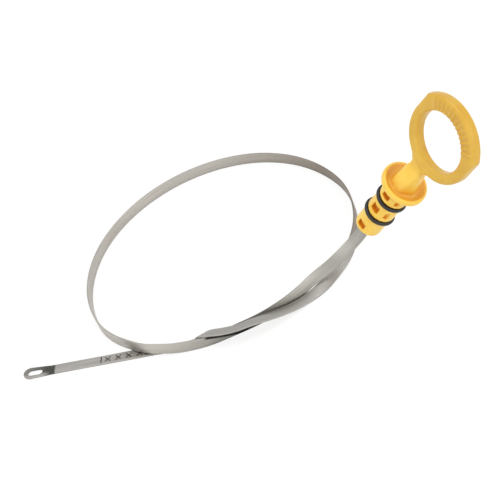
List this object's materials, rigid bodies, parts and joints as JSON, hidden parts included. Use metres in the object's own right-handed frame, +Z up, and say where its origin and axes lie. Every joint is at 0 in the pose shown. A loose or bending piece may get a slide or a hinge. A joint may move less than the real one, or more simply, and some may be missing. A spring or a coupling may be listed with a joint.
{
  "type": "engine oil dipstick",
  "caption": "Coiled steel strip dipstick with a moulded pull ring, a seal plug with rubber rings, stamped level marks and an eyelet tip, lying as one loop.",
  "frame": {"origin": "floor point under the middle of the whole part", "axes": "+X towards the pull ring's end, +Z up from the floor that the coil lies on"},
  "size_m": [0.2046, 0.1511, 0.0893],
  "materials": {
    "amber_plastic": "satin moulded",
    "spring_steel": "rolled and tempered",
    "seal_rubber": "smooth"
  },
  "bodies": {
    "root": {"handle": "amber_plastic", "blade": "spring_steel", "o_ring_lower": "seal_rubber", "o_ring_upper": "seal_rubber"}
  },
  "joints": []
}
